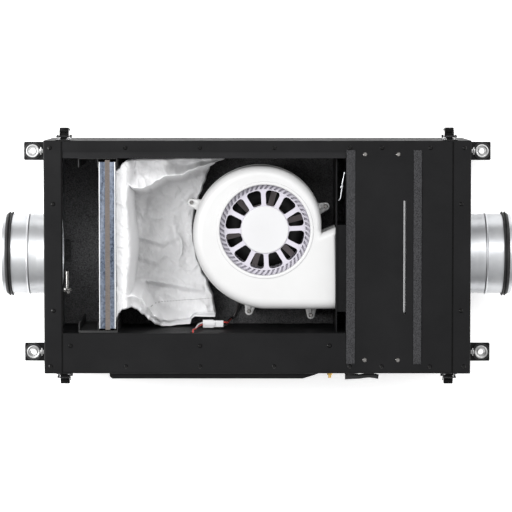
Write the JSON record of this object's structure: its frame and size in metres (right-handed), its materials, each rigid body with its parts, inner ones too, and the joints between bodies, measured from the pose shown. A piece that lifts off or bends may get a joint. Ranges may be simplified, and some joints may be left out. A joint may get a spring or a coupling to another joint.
{
  "type": "ducted supply air unit",
  "caption": "Flat ceiling-hung ducted supply-air unit with its service side open: pocket filter, scroll fan, electric heater section, round spigots and toggle latches",
  "frame": {"origin": "centre of the back face, the face against the ceiling", "axes": "+Z from the back face to the open service side, +X towards the outlet spigot, +Y across the casing, away from the wiring channel"},
  "size_m": [0.792, 0.393, 0.1918],
  "materials": {
    "charcoal_coat": "fine-textured satin",
    "lining_board": "fine-grained matt",
    "foam": "porous matt",
    "black_coat": "satin",
    "black_plastic": "matt",
    "rubber": "matt",
    "galvanised": "galvanised",
    "bright_steel": "satin",
    "bright_aluminium": "bright",
    "felt": "felted",
    "filter_cloth": "non-woven",
    "white_plastic": "semi-gloss",
    "brown_grey_plastic": "matt",
    "copper_winding": "lacquered copper wire",
    "wire_insulation": "satin",
    "circuit_board": "solder-masked",
    "grey_plastic": "matt",
    "brass": "plain"
  },
  "bodies": {
    "casing": {"casing_tub": "charcoal_coat", "end_panel_inlet": "charcoal_coat", "end_panel_outlet": "charcoal_coat", "back_lining": "lining_board", "end_linings": "lining_board", "side_linings": "lining_board", "inner_ledge": "charcoal_coat", "casing_screws": "black_coat", "mounting_brackets": "black_coat", "bracket_grommets": "rubber", "bracket_bushes": "galvanised", "rivets": "bright_steel", "inlet_spigot": "galvanised", "outlet_spigot": "galvanised", "spigot_seals": "rubber", "latch_bases": "black_coat", "temperature_probe": "bright_steel", "filter_guides": "black_plastic", "scroll_front": "white_plastic", "scroll_back": "white_plastic", "fan_posts": "black_coat", "fan_screws": "bright_steel", "motor_base": "brown_grey_plastic", "motor_stator": "copper_winding", "motor_bearings": "bright_steel", "fan_lead": "wire_insulation", "fan_plug": "white_plastic", "partition": "black_coat", "sensor_clip": "bright_steel", "heater_box": "galvanised", "heater_elements": "bright_steel", "element_plate": "galvanised", "heater_thermostats": "black_plastic", "heat_shield": "bright_aluminium", "heater_lid": "charcoal_coat", "lid_screws": "bright_steel", "foam_strips": "foam", "outlet_panel": "charcoal_coat", "wiring_tray": "charcoal_coat", "wiring_cover": "charcoal_coat", "controller_board": "circuit_board", "terminal_block": "grey_plastic", "terminal_cover": "black_coat", "earth_stud": "brass", "power_cable": "rubber"},
    "wheel": {"impeller": "white_plastic", "hub_cap": "white_plastic", "motor_rotor": "bright_steel", "motor_shaft": "bright_steel"},
    "filter": {"filter_frame": "galvanised", "filter_felt": "felt", "filter_bag": "filter_cloth"},
    "lever_1": {"latch_lever_1": "black_coat"},
    "bail_1": {"latch_bail_1": "black_coat"},
    "lever_2": {"latch_lever_2": "black_coat"},
    "bail_2": {"latch_bail_2": "black_coat"},
    "lever_3": {"latch_lever_3": "black_coat"},
    "bail_3": {"latch_bail_3": "black_coat"},
    "lever_4": {"latch_lever_4": "black_coat"},
    "bail_4": {"latch_bail_4": "black_coat"}
  },
  "joints": [
    {"name": "fan_spin", "type": "hinge", "parent": "casing", "child": "wheel", "pos_m": [0.0117, 0.0403, 0.11], "axis": [0, 0, 1], "continuous": true},
    {"name": "filter_pull", "type": "slide", "parent": "casing", "child": "filter", "axis": [0, 0, 1], "range_m": [0, 0.2]},
    {"name": "lever_1_open", "type": "hinge", "parent": "casing", "child": "lever_1", "pos_m": [-0.298, 0.187, 0.154], "axis": [1, 0, 0], "range_deg": [0, 120]},
    {"name": "bail_1_swing", "type": "hinge", "parent": "lever_1", "child": "bail_1", "pos_m": [-0.298, 0.185, 0.148], "axis": [1, 0, 0], "range_deg": [-120, 0]},
    {"name": "lever_2_open", "type": "hinge", "parent": "casing", "child": "lever_2", "pos_m": [0.296, 0.187, 0.154], "axis": [1, 0, 0], "range_deg": [0, 120]},
    {"name": "bail_2_swing", "type": "hinge", "parent": "lever_2", "child": "bail_2", "pos_m": [0.296, 0.185, 0.148], "axis": [1, 0, 0], "range_deg": [-120, 0]},
    {"name": "lever_3_open", "type": "hinge", "parent": "casing", "child": "lever_3", "pos_m": [-0.298, -0.187, 0.154], "axis": [-1, 0, 0], "range_deg": [0, 120]},
    {"name": "bail_3_swing", "type": "hinge", "parent": "lever_3", "child": "bail_3", "pos_m": [-0.298, -0.185, 0.148], "axis": [-1, 0, 0], "range_deg": [-120, 0]},
    {"name": "lever_4_open", "type": "hinge", "parent": "casing", "child": "lever_4", "pos_m": [0.296, -0.187, 0.154], "axis": [-1, 0, 0], "range_deg": [0, 120]},
    {"name": "bail_4_swing", "type": "hinge", "parent": "lever_4", "child": "bail_4", "pos_m": [0.296, -0.185, 0.148], "axis": [-1, 0, 0], "range_deg": [-120, 0]}
  ],
  "couplings": [
    {"joint": "bail_1_swing", "follows": "lever_1_open", "ratio": -1},
    {"joint": "bail_2_swing", "follows": "lever_2_open", "ratio": -1},
    {"joint": "bail_3_swing", "follows": "lever_3_open", "ratio": -1},
    {"joint": "bail_4_swing", "follows": "lever_4_open", "ratio": -1}
  ]
}
